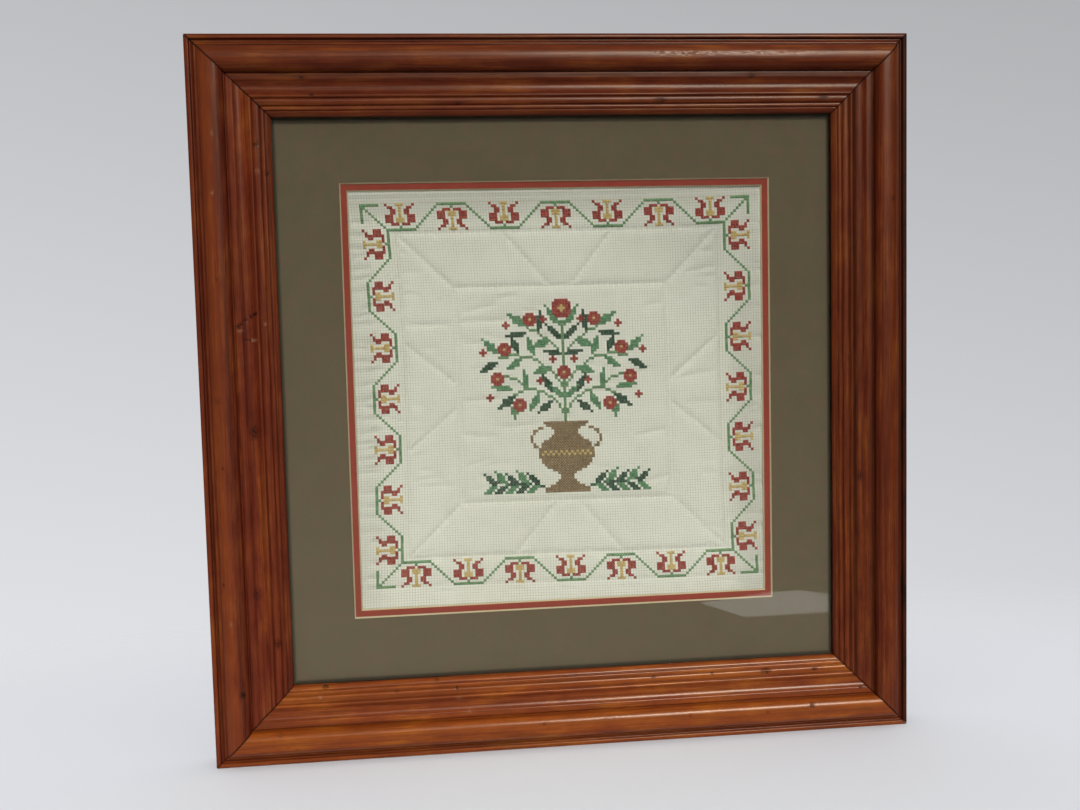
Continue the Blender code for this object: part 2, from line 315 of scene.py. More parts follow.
def cloth_material():
    """Cream evenweave in blocks of four by four threads, with a small hole at each corner of a block, and
    painted shade in the holes and gaps.
    """
    s = Shading("cream_evenweave")
    place = s.coordinates()
    along_u, along_v = s.attribute("cell_u"), s.attribute("cell_v")
    cells = s.join(s.plus(along_u, 500.5), 0.0, s.plus(along_v, 500.5))
    wander = s.node("ShaderNodeTexNoise", {"Vector": place, "Scale": 160.0, "Detail": 2.0}).outputs["Color"]
    wander = s.vector("MULTIPLY", s.vector("SUBTRACT", wander, (0.5, 0.5, 0.5)), (0.14, 0.0, 0.14))
    u, _, v = s.split(s.vector("ADD", cells, wander))
    from_u, from_v = (s.size(s.minus(s.math("FRACT", way), 0.5)) for way in (u, v))
    gap_u, gap_v = s.range(from_u, 0.29, 0.5), s.range(from_v, 0.31, 0.5)
    hole = s.times(s.range(from_u, 0.28, 0.46), s.range(from_v, 0.28, 0.46))
    threads = s.most(*(s.size(s.math("SINE", s.times(way, 4 * math.pi))) for way in (u, v)))
    slub_level = s.noise(place, (260.0, 260.0, 2340.0), 3.0, 0.6)
    slub_upright = s.noise(place, (2340.0, 260.0, 260.0), 3.0, 0.6)
    blot = s.noise(place, 14.0)
    colour = s.mix(s.range(blot, 0.35, 0.7, 0.0, 0.5), (0.724, 0.719, 0.626), (0.681, 0.668, 0.566))
    # Painted shade in the gaps between blocks and in the holes, patchy along the threads.
    lines_u = s.times(gap_u, s.range(slub_upright, 0.35, 0.65, 0.24, 0.54))
    lines_v = s.times(gap_v, s.range(slub_level, 0.35, 0.65, 0.22, 0.52))
    patchy = s.range(s.noise(place, 70.0, 3.0, 0.6), 0.36, 0.64, 0.6, 1.1)
    lines = s.times(s.most(lines_u, lines_v), patchy)
    colour = s.mix(s.most(lines, s.times(hole, 0.90), clamp=True), colour, (0.315, 0.290, 0.215))
    colour = s.mix(s.range(slub_upright, 0.45, 0.75, 0.0, 0.16), colour, (0.82, 0.80, 0.68))

    # Painted shade darkens the cloth towards its edges, most at the top, the right and the top right corner,
    # as if the mats and frame shaded it, but less close to the mat, where their real shadow falls; the strip
    # by the top mat is painted paler against that shadow, and a faint brownish line runs along the top fold.
    # Places are in squares from the middle.
    painted_shade = s.most(s.range(along_v, 62.0, 71.0, 0.0, 0.21), s.range(along_u, 57.0, 70.0, 0.0, 0.17))
    painted_shade = s.most(painted_shade, s.range(along_u, -72.0, -66.0, 0.09, 0.0))
    painted_shade = s.most(painted_shade, s.range(s.plus(along_u, along_v), 60.0, 125.0, 0.0, 0.16))
    painted_shade = s.times(painted_shade, s.range(s.most(along_u, along_v), 74.0, 75.8, 1.0, 0.25))
    colour = s.mix(painted_shade, colour, (0.0, 0.0, 0.0))
    # Painted light: the strip next to the top mat is paler, against the mat's shadow.
    colour = s.mix(s.range(along_v, 74.4, 76.0, 0.0, 0.3), colour, (0.95, 0.94, 0.86))
    fold = s.range(s.size(s.minus(along_v, 71.6)), 0.2, 0.9, 0.28, 0.0)
    fold = s.times(fold, s.range(slub_upright, 0.40, 0.60, 0.3, 1.0))
    colour = s.mix(fold, colour, (0.36, 0.30, 0.21))

    height = s.minus(s.times(threads, 0.35), s.times(s.most(gap_u, gap_v), 0.55))
    height = s.plus(s.minus(height, hole), s.times(slub_level, 0.3))
    return s.finish(Base_Color=colour, Roughness=s.range(slub_upright, 0.3, 0.7, 0.84, 0.95),
                    Normal=s.bump(height, 0.55, 0.18 * MM), Sheen_Weight=0.15, Sheen_Roughness=0.5,
                    Specular_IOR_Level=0.2)


def thread_material(name, colour, dark, light):
    """Stranded cotton: soft sheen, tone that changes a little from stitch to stitch, and fine ply lines."""
    s = Shading(name)
    tone = s.attribute("tone")
    ply = s.size(s.math("SINE", s.times(s.attribute("turn"), 9.0)))
    fuzz = s.noise(s.coordinates(), 5200.0, 2.0, 0.7)
    painted = s.mix(s.range(tone, 0.0, 1.0, smooth=False), dark, light)
    painted = s.mix(0.5, painted, colour)
    painted = s.mix(s.range(ply, 0.0, 0.45, 0.30, 0.0), painted, tuple(0.45 * c for c in colour))
    painted = s.mix(s.range(fuzz, 0.4, 0.8, 0.0, 0.22), painted, light)
    height = s.plus(ply, s.times(fuzz, 0.6))
    return s.finish(Base_Color=painted, Roughness=s.range(tone, 0.0, 1.0, 0.58, 0.70),
                    Normal=s.bump(height, 0.5, 0.05 * MM), Sheen_Weight=0.1, Sheen_Roughness=0.4,
                    Specular_IOR_Level=0.2)


def glass_material():
    """Picture glass: clear, mirroring a little head on and more at a slant."""
    s = Shading("picture_glass_clear")
    slant = s.node("ShaderNodeLayerWeight", {"Blend": 0.5}).outputs["Facing"]
    share = s.math("MULTIPLY_ADD", s.math("POWER", slant, 5.0), 0.9, 0.034)
    film = s.range(s.noise(s.coordinates(), (9.0, 9.0, 3.15), 4.0, 0.6), 0.45, 0.8, 0.0, 0.04)
    clear = s.node("ShaderNodeBsdfTransparent", {"Color": (0.985, 0.992, 0.986)})
    mirror = s.node("ShaderNodeBsdfGlossy", {"Color": (0.97, 0.99, 1.0), "Roughness": film})
    mixed = s.node("ShaderNodeMixShader", {0: share, 1: clear.outputs[0], 2: mirror.outputs[0]})
    s.tree.nodes.remove(s.shader)
    s.tree.links.new(mixed.outputs[0], s.output.inputs["Surface"])
    return s.owner


def hardboard_material():
    """Brown pressed-fibre backing: short random fibres, paler flakes and darker stains."""
    s = Shading("backing_board_fibre")
    place = s.coordinates()
    fibre = s.noise(place, 900.0, 5.0, 0.7, 0.6)
    flake = s.noise(place, (190.0, 190.0, 570.0), 4.0, 0.6, 0.8)
    stain = s.noise(place, 7.0)
    browns = ((0.30, (0.115, 0.062, 0.030)), (0.52, (0.205, 0.122, 0.062)), (0.74, (0.315, 0.205, 0.115)))
    colour = s.ramp(fibre, browns)
    colour = s.mix(s.range(flake, 0.52, 0.74, 0.0, 0.4), colour, (0.37, 0.25, 0.145))
    colour = s.mix(s.range(stain, 0.5, 0.75, 0.0, 0.4), colour, (0.10, 0.056, 0.030))
    return s.finish(Base_Color=colour, Roughness=s.range(fibre, 0.3, 0.7, 0.72, 0.9),
                    Normal=s.bump(fibre, 0.5, 0.2 * MM), Specular_IOR_Level=0.3)


def floor_material():
    """A pale table top whose edge melts into the backdrop."""
    s = Shading("studio_floor")
    place = s.coordinates()
    x, y, _ = s.split(place)
    from_middle = s.join(s.times(x, 0.5), s.plus(y, 0.04), 0.0)
    far = s.node("ShaderNodeVectorMath", {0: from_middle}, operation="LENGTH").outputs[1]
    colour = s.mix(s.noise(place, 3.0, 2.0), (0.706, 0.724, 0.772), (0.726, 0.744, 0.790))
    rough = s.range(s.noise(place, 60.0, 2.0), 0.3, 0.7, 0.75, 0.85)
    s.finish(Base_Color=colour, Roughness=rough, Specular_IOR_Level=0.15)
    clear = s.node("ShaderNodeBsdfTransparent")
    mixed = s.node("ShaderNodeMixShader",
                   {0: s.range(far, 0.20, 0.56), 1: s.shader.outputs[0], 2: clear.outputs[0]})
    s.tree.links.new(mixed.outputs[0], s.output.inputs["Surface"])
    return s.owner


def sheet_material():
    """Pale paper that glows a little, so that the glass mirrors it as bright."""
    s = Shading("studio_sheet")
    grain = s.noise(s.coordinates(), 400.0)
    return s.finish(Base_Color=s.mix(grain, (0.80, 0.80, 0.80), (0.88, 0.88, 0.88)),
                    Roughness=s.range(grain, 0.3, 0.7, 0.7, 0.8),
                    Emission_Color=(1.0, 1.0, 1.0), Emission_Strength=0.45)


# Moulding

def hump(start, end, rise, steps, fullness=2.0):
    """Half an ellipse from start to end. More fullness makes it squarer, and a negative rise a cove."""
    (w0, h0), (w1, h1) = start, end
    points = []
    for step in range(steps + 1):
        angle = math.pi * step / steps
        side = math.copysign(abs(math.cos(angle)) ** (2 / fullness), math.cos(angle))
        along = (1 - side) / 2
        lift = rise * math.sin(angle) ** (2 / fullness)
        points.append((w0 + (w1 - w0) * along, h0 + (h1 - h0) * along + lift))
    return points


def moulding_front():
    """The section's shaped part, from the outer to the sight edge, as (width, height from the back)."""
    # An outer bead, a small cove and a step, the large bulge, a flat, a hollow and a ridge, then three beads.
    section = hump((0, 19.9), (3.2, 20.4), 1.25, 10, 2.4)
    section += hump((3.4, 19.8), (5.4, 20.4), -0.6, 6)
    section += [(5.8, 21.2), (6.8, 21.25), (7.2, 20.9)]
    section += hump((7.6, 21.3), (23.4, 21.2), 6.75, 34, 2.4)
    section += [(23.8, 21.1), (24.2, 21.3), (24.8, 21.88), (25.0, 21.9), (27.9, 21.9), (28.4, 21.78)]
    section += [(28.8, 21.5), (29.5, 20.92), (30.2, 20.48), (31.0, 20.12), (31.8, 19.9), (32.6, 19.8)]
    section += [(33.6, 19.85), (34.5, 20.0), (35.5, 20.26), (36.5, 20.68), (37.4, 21.24), (38.1, 21.58)]
    section += [(38.6, 21.7), (39.2, 21.5), (39.6, 20.9)]
    section += hump((40.0, 20.4), (44.3, 20.2), 0.75, 10)
    section += [(44.5, 19.8)]
    section += hump((44.7, 19.5), (47.3, 19.5), 0.6, 8)
    section += [(47.5, 19.1)]
    section += hump((47.8, 18.9), (RAIL_WIDTH, 16.6), 0.95, 9, 2.2)
    return section


def eased(points, longest=1.1, shortest=0.25, cut=0.22):
    """The polyline with long runs divided and every corner cut a little, as sanding and varnish leave it."""
    fine = [points[0]]
    for (w0, h0), (w1, h1) in zip(points, points[1:]):
        parts = max(1, math.ceil(math.hypot(w1 - w0, h1 - h0) / longest))
        fine += [(w0 + (w1 - w0) * k / parts, h0 + (h1 - h0) * k / parts) for k in range(1, parts + 1)]
    soft = [fine[0]]
    for (w0, h0), (w1, h1) in zip(fine, fine[1:]):
        shares = (cut, 1 - cut) if math.hypot(w1 - w0, h1 - h0) > shortest else (0.5,)
        soft += [((1 - share) * w0 + share * w1, (1 - share) * h0 + share * h1) for share in shares]
    return soft + [fine[-1]]


# Marks in the wood of each rail: place along it from its middle (rightwards or upwards), place across it from
# the outer side, half sizes along and across, and depth, in mm, then tint (above 0 dark, below 0 bare wood).
MARKS = {
    "top": (
        (-162.6, 27.7, 2.0, 1.3, 0.25, 0.8), (-156.7, 37.8, 1.6, 1.1, 0.2, 0.8),
        (-65.0, 43.7, 2.6, 1.3, 0.1, 0.5), (-70.7, 2.3, 1.5, 0.8, 0.2, 0.6),
        (127.6, 27.7, 2.4, 1.4, 0.25, 0.8), (66.9, 42.7, 4.2, 2.2, 0.15, 0.7),
        (176.6, 41.5, 3.4, 1.8, 0.3, 0.85),
    ),
    "left": (
        (166.3, 42.1, 0.9, 2.6, 0.3, 0.8), (149.7, 41.9, 1.3, 1.2, 0.25, -0.33),
        (148.2, 47.4, 1.9, 1.8, 0.25, 0.8), (173.0, 15.9, 1.6, 0.9, 0.15, -0.30),
        (135.8, 14.5, 0.9, 0.9, 0.15, -0.36), (-112.2, 10.5, 1.3, 1.0, 0.2, 0.6),
        (-120.7, 31.0, 3.6, 2.6, 0.12, 0.6), (-154.0, 42.3, 3.2, 2.6, 0.15, 0.6),
        (-184.7, 19.5, 1.9, 1.9, 0.5, 0.95), (-137.9, 13.8, 1.8, 1.2, 0.1, -0.21),
        (52.0, 26.3, 1.3, 1.5, 0.7, 0.9), (53.6, 28.0, 1.2, 1.4, 0.7, 0.85),
        (49.6, 27.2, 1.2, 1.6, 0.15, -0.24), (56.2, 31.2, 1.2, 1.7, 0.4, 0.7),
        (58.3, 34.2, 1.2, 1.7, 0.45, 0.8), (60.0, 36.9, 1.2, 1.7, 0.6, 0.9),
        (43.4, 31.5, 0.7, 2.6, 0.25, 0.6), (43.3, 35.0, 0.8, 1.8, 0.2, -0.48),
        (53.5, 43.0, 1.2, 1.0, 0.2, -0.24), (-15.3, 32.7, 4.6, 3.0, 0.1, 0.65),
        (82.4, 14.6, 1.5, 1.2, 0.15, 0.4), (-37.0, 13.3, 1.1, 1.0, 0.2, 0.65),
        (5.9, 12.2, 2.6, 2.4, 0.05, 0.3),
    ),
    "right": (
        (126.1, 12.2, 2.0, 1.4, 0.1, 0.4), (-60.0, 33.0, 3.2, 2.2, 0.1, 0.45),
        (20.0, 41.0, 2.2, 1.2, 0.1, 0.4),
    ),
    "bottom": (
        (-162.2, 49.6, 2.0, 1.5, 0.3, 0.85), (-165.6, 43.3, 1.2, 1.0, 0.25, -0.42),
        (-115.8, 44.1, 1.6, 1.0, 0.2, 0.5), (-89.5, 50.0, 1.4, 1.2, 0.3, 0.8),
        (-76.4, 44.2, 0.9, 1.4, 0.3, 0.8), (-75.4, 37.7, 1.3, 1.0, 0.3, -0.36),
        (-68.4, 28.4, 1.5, 1.2, 0.25, -0.33), (-192.2, 21.4, 2.2, 1.4, 0.1, 0.4),
        (56.0, 43.8, 1.7, 1.1, 0.25, 0.75), (96.6, 43.8, 1.2, 1.2, 0.25, 0.7),
        (133.9, 43.6, 3.4, 1.9, 0.3, 0.85), (168.4, 43.0, 2.3, 1.3, 0.25, 0.8),
        (164.1, 19.6, 1.9, 2.1, 0.15, 0.95), (200.4, 28.6, 1.4, 1.3, 0.08, 0.85),
        (133.0, 17.1, 1.2, 1.0, 0.3, 0.6), (79.6, 17.6, 1.0, 1.2, 0.3, 0.5),
        (-20.0, 18.4, 1.6, 1.0, 0.15, 0.4), (20.0, 28.5, 2.0, 1.0, 0.15, 0.35),
    ),
}

# Varnish rubbed rough on each rail: place along and across it, and half sizes, in mm.
SCUFFS = {"top": ((82.0, 13.0, 24.0, 3.0), (140.0, 13.0, 30.0, 2.0)), "left": ((-137.9, 13.8, 5.0, 2.5),),
          "right": (), "bottom": ((25.0, 18.5, 8.0, 1.5), (104.0, 18.0, 10.0, 1.2))}

# Each rail: length, place, turn about Y in degrees, whether its local X runs with its marks' places (1) or
# against them (-1), its seed, how much its colour is brightened and made golden, and how glossy its varnish.
RAILS = {
    "bottom": (FRAME_WIDTH, (0, 0, 0), 0, 1, 1.0, 1.95, 0.8, 0.60),
    "top": (FRAME_WIDTH, (0, 0, FRAME_HEIGHT), 180, -1, 2.0, 1.20, 0.0, 0.24),
    "left": (FRAME_HEIGHT, (-FRAME_WIDTH / 2, 0, FRAME_HEIGHT / 2), 90, -1, 3.0, 1.29, -0.45, 0.14),
    "right": (FRAME_HEIGHT, (FRAME_WIDTH / 2, 0, FRAME_HEIGHT / 2), -90, 1, 4.0, 1.14, -0.1, 0.22),
}

# Where the dark glaze stayed, on all rails, then painted shade on one alone, on slopes and flats turned from
# the light; where rubbing wore the stain thin, on all, which also paints light on crests, then painted light
# on lit
# slopes of one alone: place across the rail, half width, both in mm, and strength.
GLAZE = ((3.9, 0.8, 0.25), (7.2, 0.5, 0.15), (23.8, 0.6, 0.18), (36.6, 1.1, 0.12), (39.8, 0.5, 0.15),
         (44.5, 0.4, 0.12), (47.5, 0.4, 0.10), (51.0, 0.5, 0.2))
RAIL_PAINTED_SHADE = {
    "top": ((20.0, 1.8, 0.12), (26.2, 1.7, 0.45)),
    "left": ((4.6, 1.2, 0.5), (19.9, 2.4, 0.34), (48.5, 2.4, 0.24)),
    "right": ((2.4, 3.2, 0.92), (24.6, 2.2, 0.5), (30.5, 1.6, 0.12), (36.4, 2.1, 0.72), (40.4, 1.0, 0.5),
              (48.5, 2.2, 0.18)),
    "bottom": (),
}
WORN_AND_LIT = ((1.6, 0.9, 0.5), (6.3, 0.5, 0.6), (8.1, 0.6, 0.5), (13.5, 3.2, 0.4), (26.8, 0.9, 0.4),
        (34.0, 1.2, 0.3), (38.6, 0.6, 0.6), (41.8, 0.9, 0.4), (46.1, 0.7, 0.4), (49.6, 1.0, 0.3))
RAIL_PAINTED_LIGHT = {"top": ((11.5, 2.6, 0.6),), "left": ((12.6, 4.2, 1.2),), "right": (),
             "bottom": ((19.0, 4.0, 0.9), (44.0, 4.0, 0.6))}

# A rail's rings of points: their distance in mm. Then, as shares of its half length, where the last three lie
# at a mitre, how close two may be, and where the mitre's own take over.
SLICE = 4.4
MITRE_RINGS = np.array([0.9955, 0.9978, 1.0])
CLOSEST_RINGS, MITRE_START = 0.0012, 0.993


def bands(w, table):
    """The strongest of the bands at each place across the rail."""
    rows = [strength * np.exp(-((w - middle) / half) ** 2) for middle, half, strength in table]
    return np.max(rows, axis=0)


def ring_places(length, way, marks):
    """Where a rail has rings of points, as shares of its half length from -1 to 1: more of them at marks."""
    shares = set(np.round(np.linspace(-1, 1, int(length / SLICE) + 1), 5))
    for along, across, half_along, *_ in marks:
        reach = length / 2 - across
        for step in (-1.4, -0.7, 0.0, 0.7, 1.4):
            share = (way * along + step * half_along) / reach
            if abs(share) < 1:
                shares.add(round(float(share), 5))
    shares = np.array(sorted(shares))
    shares = shares[np.concatenate([[True], np.diff(shares) > CLOSEST_RINGS])]
    return np.concatenate([-MITRE_RINGS[::-1], shares[np.abs(shares) < MITRE_START], MITRE_RINGS])


def make_rail(name, material):
    """One mitred rail: the section carried along its own X, then dented, marked and worn, with bands of
    painted shade and painted light.
    """
    length, place, turn, way, seed, shade, gold, gloss = RAILS[name]
    front = np.array(eased(moulding_front()))
    inner = RAIL_WIDTH - RABBET_WIDTH
    back = np.array([(RAIL_WIDTH, 16.2), (RAIL_WIDTH, RABBET_DEPTH), (inner, RABBET_DEPTH), (inner, 0),
                     (0, 0), (0, 5.0), (0, 10.0), (0, 15.0), (0, 18.0)])
    section = np.concatenate([front, back])
    glaze_and_shade_bands = bands(front[:, 0], GLAZE + RAIL_PAINTED_SHADE[name])
    # The inner face of the lip is painted fully dark.
    glaze_and_shade_bands = np.concatenate([glaze_and_shade_bands, np.ones(3), np.zeros(len(back) - 3)])
    # Rubbed-thin crests, and also painted light on crests and lit slopes.
    rubbed_and_lit = np.concatenate([bands(front[:, 0], WORN_AND_LIT + RAIL_PAINTED_LIGHT[name]), np.zeros(len(back))])
    movable = np.concatenate([np.ones(len(front)), np.zeros(len(back))])
    movable[[0, len(front) - 1]] = 0.0

    shares = ring_places(length, way, MARKS[name])
    reach = length / 2 - section[:, 0] - GAP / math.sqrt(2)
    x = shares[:, None] * reach[None, :]
    w = np.broadcast_to(section[:, 0], x.shape)
    h = np.broadcast_to(section[:, 1], x.shape).copy()
    rng = np.random.default_rng(int(seed) + 40)
    wobble = np.zeros_like(x)
    for _ in range(7):
        wobble += np.sin(x / rng.uniform(7, 38) + w / rng.uniform(3, 12) + rng.uniform(0, 6.3))
    h -= movable * (0.055 + 0.02 * wobble.clip(-2.6, 2.6))
    tint = np.zeros_like(x)
    for along, across, half_along, half_across, depth, tone in MARKS[name]:
        away = ((x - way * along) / half_along) ** 2 + ((w - across) / half_across) ** 2
        h -= movable * 0.5 * depth * np.exp(-away)
        spot = np.exp(-away ** 2) if tone > 0 else np.exp(-away)
        tint = np.where(spot * abs(tone) > np.abs(tint), spot * tone, tint)
    scuff = np.zeros_like(x)
    for along, across, half_along, half_across in SCUFFS[name]:
        scuff += np.exp(-(((x - way * along) / half_along) ** 4 + ((w - across) / half_across) ** 2))
    joint = np.interp(np.abs(shares), MITRE_RINGS, (0.0, 0.5, 0.95))
    dark = np.maximum(np.broadcast_to(glaze_and_shade_bands, x.shape), joint[:, None])

    points = np.stack([x, BACK_Y - h, w], -1).reshape(-1, 3)
    count, rings = len(section), len(shares)
    ring = np.arange(count)
    after = (ring + 1) % count
    base = np.arange(rings - 1)[:, None] * count
    sides = np.stack([base + ring, base + after, base + count + after, base + count + ring], -1)
    ends = [ring[::-1].tolist(), (ring + (rings - 1) * count).tolist()]
    attributes = {"glaze_and_painted_shade": dark.ravel(), "rubbed_and_lit": np.tile(rubbed_and_lit, rings), "mark": tint.ravel(),
                  "scuff": scuff.ravel()}
    for key, value in (("seed", seed), ("shade", shade), ("gold", gold), ("gloss", gloss)):
        attributes[key] = np.full(len(points), value)
    rail = make_object(f"moulding_{name}", points, sides.reshape(-1, 4).tolist() + ends, [material],
                       sharp=50, attributes=attributes)
    rail.location = [MM * value for value in place]
    rail.rotation_euler = (0, math.radians(turn), 0)
    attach(rail, "root")
    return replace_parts(rail, f"rail_{name}")


# Mats

# Points along each side of a mat, the width of its bevel and the thickness of its face paper, both in mm.
MAT_STEPS = 40
BEVEL_WIDTH, PAPER = 0.9, 0.12


def rectangle(half_width, half_height, y):
    """A rectangle of points, each side divided so that a cut edge can waver by a few hundredths."""
    corners = [(-half_width, -half_height), (half_width, -half_height), (half_width, half_height),
               (-half_width, half_height)]
    points = []
    for (x0, z0), (x1, z1) in zip(corners, corners[1:] + corners[:1]):
        for step in range(MAT_STEPS):
            share = step / MAT_STEPS
            points.append((x0 + (x1 - x0) * share, y, z0 + (z1 - z0) * share))
    return points


def make_mat(name, back_y, window, face, core, node):
    """A mat board: face paper in front, a slanting cut round the window that bares the core, core behind."""
    front_y = back_y - MAT_THICKNESS
    wide, high = window[0] / 2, window[1] / 2
    outlines = ((PANEL_WIDTH / 2, PANEL_HEIGHT / 2, back_y), (PANEL_WIDTH / 2, PANEL_HEIGHT / 2, front_y),
                (wide + 0.35, high + 0.35, front_y), (wide + 0.06, high + 0.06, front_y + 0.03),
                (wide - PAPER, high - PAPER, front_y + PAPER),
                (wide - BEVEL_WIDTH, high - BEVEL_WIDTH, back_y))
    points = np.array([point for outline in outlines for point in rectangle(*outline)])
    size = 4 * MAT_STEPS
    rng = np.random.default_rng(int(window[0]))
    waver = sum(0.02 * np.sin(np.arange(size) / rng.uniform(3, 9) + rng.uniform(0, 6.3)) for _ in range(4))
    for index in (3, 4):
        rows = slice(index * size, (index + 1) * size)
        points[rows, 0] += np.sign(points[rows, 0]) * waver * 0.5
        points[rows, 2] += np.sign(points[rows, 2]) * waver[::-1] * 0.5
    faces, kinds = [], []
    for index, kind in enumerate((1, 0, 0, 0, 1, 1)):
        this, inner = index * size, (index + 1) % 6 * size
        for step in range(size):
            after = (step + 1) % size
            faces.append((this + step, this + after, inner + after, inner + step))
            kinds.append(kind)
    mat = make_object(name, points, faces, [face, core], kinds, smooth=False)
    mat.location = (0, 0, CENTRE_Z * MM)
    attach(mat, "root")
    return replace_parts(mat, node)


# Cloth

# The quilting, in mm from the pattern's centre, as the CAD has it, and its puckers, here a little softer.
# Each pucker: its middle, half length, slope in degrees, and share of the full depth.
INNER_SQUARE, OUTER_SQUARE, V_FOOT, V_SPREAD = 72, 108, 7, 37
QUILT_DEPTH, PUCKER_DEPTH, DEEPEST = 1.7, 2.5, 1.75
GROOVE_WIDTH, FOLD_WIDTH, CREASE_WIDTH, QUILT_STEP = 2.6, 2.4, 1.35, 3.9
PUCKERS = (
    (-90, 48, 18, 0, 0.45), (-50, 49.6, 20, 1, 0.5), (-61, 35, 7, 0, 0.5), (-54, -3, 17, 2, 0.45),
    (-89, -60, 15, 0, 0.35), (96, 80, 12, 10, 0.45), (58, -28, 12, 8, 0.5), (92, 10, 18, 8, 0.4),
    (53, 13, 12, 5, 0.35), (95, -9, 16, 0, 0.3), (-133, 50, 7, 3, 0.5), (-133, 18, 7, -3, 0.45),
    (-133, -13, 7, 2, 0.4), (-133, -40, 7, 0, 0.45), (-133, -79, 7, -2, 0.35), (134, 33, 6, 0, 0.35),
    (134, -6, 6, 3, 0.35), (134, -66, 6, -2, 0.35), (0, 131, 135, 0.3, 0.28), (0, -127, 135, 0, 0.35),
)

# How far the cloth's fine grid runs from the middle, in squares. In mm: how far the cloth shows, the next
# grid line out, and the depth of the holes and of the furrows between blocks.
FINE_U, FINE_V = 75.5, 77.0
SHOWN_U, SHOWN_V, NEXT_LINE = 136.5, 137, 160.0
HOLE_DEPTH, FURROW_DEPTH = 0.24, 0.07


def quilting_lines():
    """The quilting's straight lines, each from start to end."""
    lines = []
    for cos, sin in ((1, 0), (0, 1), (-1, 0), (0, -1)):
        def at(u, v, cos=cos, sin=sin):
            return (u * cos - v * sin, u * sin + v * cos)

        lines += [(at(-INNER_SQUARE, INNER_SQUARE), at(INNER_SQUARE, INNER_SQUARE)),
                  (at(-OUTER_SQUARE, OUTER_SQUARE), at(OUTER_SQUARE, OUTER_SQUARE)),
                  (at(INNER_SQUARE, INNER_SQUARE), at(OUTER_SQUARE, OUTER_SQUARE)),
                  (at(-V_FOOT, INNER_SQUARE), at(-V_SPREAD, OUTER_SQUARE)),
                  (at(V_FOOT, INNER_SQUARE), at(V_SPREAD, OUTER_SQUARE))]
    return lines


def line_distance(u, v, start, end):
    """Distance of points from a line's nearest point, and how far along it that is, in mm."""
    along = np.subtract(end, start)
    length = math.hypot(*along)
    share = np.clip(((u - start[0]) * along[0] + (v - start[1]) * along[1]) / length ** 2, 0, 1)
    return np.hypot(u - start[0] - share * along[0], v - start[1] - share * along[1]), share * length


def crease(distance, width, share):
    """The profile across a crease: a soft fold that takes this share of the depth, and a sharp bottom."""
    return share * np.exp(-(distance / width) ** 2) + (1 - share) * np.exp(-distance / CREASE_WIDTH)


def relief(u, v):
    """Depth of the cloth's front behind its highest plane, u and v being mm from the pattern's centre."""
    groove = np.zeros_like(u)
    for start, end in quilting_lines():
        distance, along = line_distance(u, v, start, end)
        beat = 0.06 if start[0] == end[0] else 0.16
        dimple = 1 - beat + beat * np.cos(2 * math.pi * along / QUILT_STEP)
        groove = np.maximum(groove, QUILT_DEPTH * dimple * crease(distance, GROOVE_WIDTH, 0.45))
    pucker = np.zeros_like(u)
    for centre_u, centre_v, half, slope, depth in PUCKERS + SMALL_PUCKERS:
        du, dv = half * math.cos(math.radians(slope)), half * math.sin(math.radians(slope))
        start, end = (centre_u - du, centre_v - dv), (centre_u + du, centre_v + dv)
        distance, along = line_distance(u, v, start, end)
        fade = 1.0
        if half < 100:
            fade = np.sqrt(np.clip(np.sin(math.pi * np.clip(along / (2 * half), 0, 1)), 0.0, 1))
        pucker = np.maximum(pucker, PUCKER_DEPTH * depth * fade * crease(distance, FOLD_WIDTH, 0.6))
    wave = 0.06 * (1 + np.sin(u / 17 + 1.3 * np.sin(v / 23)) * np.cos(v / 13))
    return np.minimum(DEEPEST, np.maximum(groove, pucker) + wave)


def drift(u, v):
    """How far the cloth was drawn out of true when it was stretched, in mm, fading out under the mats."""
    x, y = np.clip(u / 125, -1.15, 1.15), np.clip(v / 125, -1.15, 1.15)
    aside = 0.7 - 1.9 * y - 2.2 * x * (1 - y * y) + 0.6 * x * x - y * y
    aside = aside + x * x * y - 0.8 * y ** 3 - 0.4 * x * y
    up = x * y - 0.4 - 0.6 * x - 0.9 * y + 0.4 * x * x + x ** 3
    up = up + 0.3 * x * x * y - 0.4 * x * y * y + 0.7 * y ** 3
    held = np.clip((185 - np.maximum(np.abs(u), np.abs(v))) / 40, 0, 1)
    return aside * held, up * held


def small_puckers():
    """Short creases that the tight stitches draw into the cloth beside the border, most of them level."""
    rng = np.random.default_rng(23)

    def pick(*ranges):
        return [rng.uniform(low, high) for low, high in ranges]

    creases = []
    for v in np.arange(-118, 122, 7.5):
        for side, chance, deep in ((-1, 0.85, (0.30, 0.60)), (1, 0.5, (0.2, 0.4))):
            if rng.uniform() < chance:
                aside, up, *rest = pick((126, 135), (-3, 3), (5, 12), (-13, 13), deep)
                creases.append((side * aside, v + up, *rest))
            if rng.uniform() < 0.6 * chance:
                aside, up, *rest = pick((95, 112), (-3, 3), (5, 14), (-10, 10), (0.15, 0.36))
                creases.append((side * aside, v + up, *rest))
    for u in np.arange(-112, 116, 9.5):
        u = u + rng.uniform(-3, 3)
        side = rng.choice((-1, 1))
        up, *rest = pick((127, 133), (4, 12), (-5, 5), (0.12, 0.30))
        creases.append((u, side * up, *rest))
    creases += [tuple(pick((-66, 66), (-66, 66), (5, 16), (-14, 14), (0.20, 0.46))) for _ in range(34)]
    return tuple(creases)


SMALL_PUCKERS = small_puckers()


